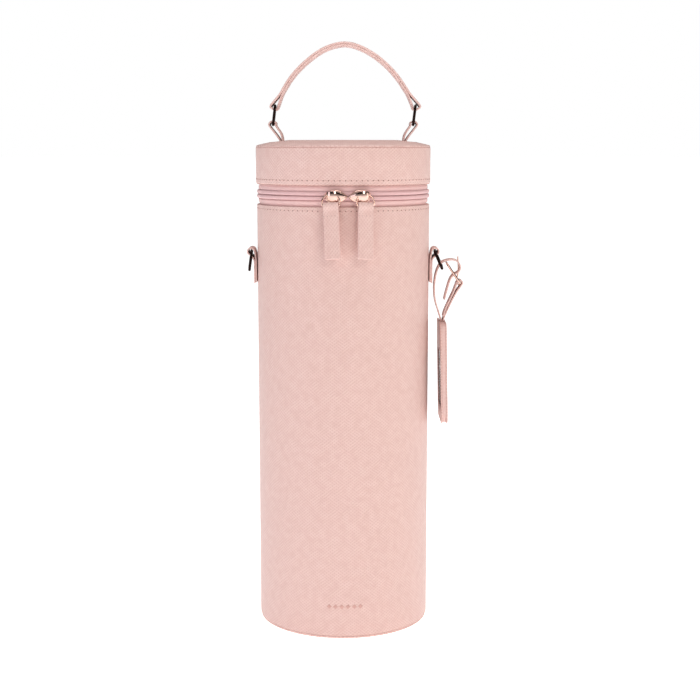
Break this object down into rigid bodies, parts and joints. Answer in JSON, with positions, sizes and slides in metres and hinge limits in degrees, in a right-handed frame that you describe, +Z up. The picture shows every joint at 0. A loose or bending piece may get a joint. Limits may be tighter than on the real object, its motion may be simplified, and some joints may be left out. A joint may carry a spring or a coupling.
{
  "type": "zip-top cylindrical baby bottle and formula carry case",
  "caption": "Tall insulated leatherette tube with a hinged zip lid, two sliders, a strap handle on rings, side rings and a buckled luggage tag.",
  "frame": {"origin": "centre of the underside of the base", "axes": "+Z up along the case; -Y to the front, where the two zip pulls hang; +Y to the soft hinge; +X to the luggage tag"},
  "size_m": [0.1258, 0.1106, 0.3382],
  "materials": {
    "leatherette": "pink cross-grain leatherette, satin",
    "edge_paint": "pink painted leatherette edge, satin",
    "zip_cloth": "woven pink zip tape and nylon coil",
    "lining_cloth": "pale grey-beige lining cloth",
    "stiffener_board": "stiffening board",
    "foam": "white insulating foam",
    "rose_gold": "polished rose gold plating",
    "clear_film": "clear flexible film",
    "card": "uncoated white card"
  },
  "bodies": {
    "case": {"base_skin": "leatherette", "base_board": "stiffener_board", "base_foam": "foam", "base_lining": "lining_cloth", "body_skin": "leatherette", "body_board": "stiffener_board", "body_foam": "foam", "body_lining": "lining_cloth", "body_rim_binding": "zip_cloth", "zip_tape_lower": "zip_cloth", "zip_teeth_lower": "zip_cloth", "hinge_panel": "leatherette", "hinge_lining": "lining_cloth", "side_tab_left": "leatherette", "side_tab_right": "leatherette"},
    "lid": {"lid_top_panel": "leatherette", "lid_top_pad": "foam", "lid_side_band": "leatherette", "lid_top_board": "stiffener_board", "lid_side_board": "stiffener_board", "lid_top_foam": "foam", "lid_side_foam": "foam", "lid_lining": "lining_cloth", "lid_rim_binding": "zip_cloth", "zip_tape_upper": "zip_cloth", "zip_teeth_upper": "zip_cloth", "lid_loop_left": "leatherette", "lid_loop_right": "leatherette"},
    "slider_left": {"zip_slider_left": "rose_gold"},
    "slider_right": {"zip_slider_right": "rose_gold"},
    "pull_ring_left": {"pull_ring_left": "rose_gold"},
    "pull_ring_right": {"pull_ring_right": "rose_gold"},
    "pull_tab_left": {"pull_tab_left": "leatherette"},
    "pull_tab_right": {"pull_tab_right": "leatherette"},
    "handle_ring_left": {"handle_ring_left": "rose_gold"},
    "handle_ring_right": {"handle_ring_right": "rose_gold"},
    "handle": {"handle_strap": "leatherette", "handle_lining": "edge_paint"},
    "side_ring_left": {"side_ring_left": "rose_gold"},
    "side_ring_right": {"side_ring_right": "rose_gold"},
    "tag": {"tag_strap": "leatherette", "tag_buckle_strap": "leatherette", "tag_buckle": "rose_gold", "tag_front": "leatherette", "tag_back": "leatherette", "tag_window": "clear_film", "tag_stiffener": "stiffener_board", "tag_welt": "edge_paint"},
    "tag_prong": {"tag_buckle_prong": "rose_gold"},
    "tag_card": {"tag_card": "card"}
  },
  "joints": [
    {"name": "lid_hinge", "type": "hinge", "parent": "case", "child": "lid", "pos_m": [0, 0.0505, 0.252], "axis": [-1, 0, 0], "range_deg": [0, 110]},
    {"name": "slider_left_travel", "type": "hinge", "parent": "case", "child": "slider_left", "pos_m": [0, 0, 0.252], "axis": [0, 0, -1], "range_deg": [0, 143]},
    {"name": "slider_right_travel", "type": "hinge", "parent": "case", "child": "slider_right", "pos_m": [0, 0, 0.252], "axis": [0, 0, 1], "range_deg": [0, 137]},
    {"name": "pull_ring_left_swing", "type": "hinge", "parent": "slider_left", "child": "pull_ring_left", "pos_m": [-0.00633, -0.05232, 0.253], "axis": [-0.9928, 0.1201, 0], "range_deg": [-4, 140]},
    {"name": "pull_ring_right_swing", "type": "hinge", "parent": "slider_right", "child": "pull_ring_right", "pos_m": [0.01212, -0.05129, 0.253], "axis": [-0.9732, -0.23, 0], "range_deg": [-4, 140]},
    {"name": "pull_tab_left_swing", "type": "hinge", "parent": "pull_ring_left", "child": "pull_tab_left", "pos_m": [-0.00651, -0.05383, 0.2469], "axis": [-0.9928, 0.1201, 0], "range_deg": [-5, 25]},
    {"name": "pull_tab_right_swing", "type": "hinge", "parent": "pull_ring_right", "child": "pull_tab_right", "pos_m": [0.01247, -0.05277, 0.2469], "axis": [-0.9732, -0.23, 0], "range_deg": [-5, 25]},
    {"name": "handle_sway", "type": "hinge", "parent": "lid", "child": "handle_ring_left", "pos_m": [-0.0404, 0, 0.2912], "axis": [0, 1, 0], "range_deg": [-40, 28]},
    {"name": "handle_on_left_ring", "type": "hinge", "parent": "handle_ring_left", "child": "handle", "pos_m": [-0.03912, 0, 0.30192], "axis": [0, 1, 0], "range_deg": [-28, 40]},
    {"name": "handle_right_ring_sway", "type": "hinge", "parent": "lid", "child": "handle_ring_right", "pos_m": [0.0404, 0, 0.2912], "axis": [0, 1, 0], "range_deg": [-40, 28]},
    {"name": "side_ring_left_swing", "type": "hinge", "parent": "case", "child": "side_ring_left", "pos_m": [-0.0535, 0, 0.2185], "axis": [0, 1, 0], "range_deg": [-5, 150]},
    {"name": "side_ring_right_swing", "type": "hinge", "parent": "case", "child": "side_ring_right", "pos_m": [0.0535, 0, 0.2185], "axis": [0, -1, 0], "range_deg": [-1, 60]},
    {"name": "tag_swing", "type": "hinge", "parent": "side_ring_right", "child": "tag", "pos_m": [0.05789, 0, 0.20863], "axis": [0, -1, 0], "range_deg": [-1, 45]},
    {"name": "tag_prong_swing", "type": "hinge", "parent": "tag", "child": "tag_prong", "pos_m": [0.0681, 0, 0.1999], "axis": [0, -1, 0], "range_deg": [-2, 2]},
    {"name": "tag_card_slide", "type": "slide", "parent": "tag", "child": "tag_card", "axis": [0, 1, 0], "range_m": [0, 0.03]}
  ],
  "couplings": [
    {"joint": "handle_on_left_ring", "follows": "handle_sway", "ratio": -1},
    {"joint": "handle_right_ring_sway", "follows": "handle_sway", "ratio": 1}
  ]
}
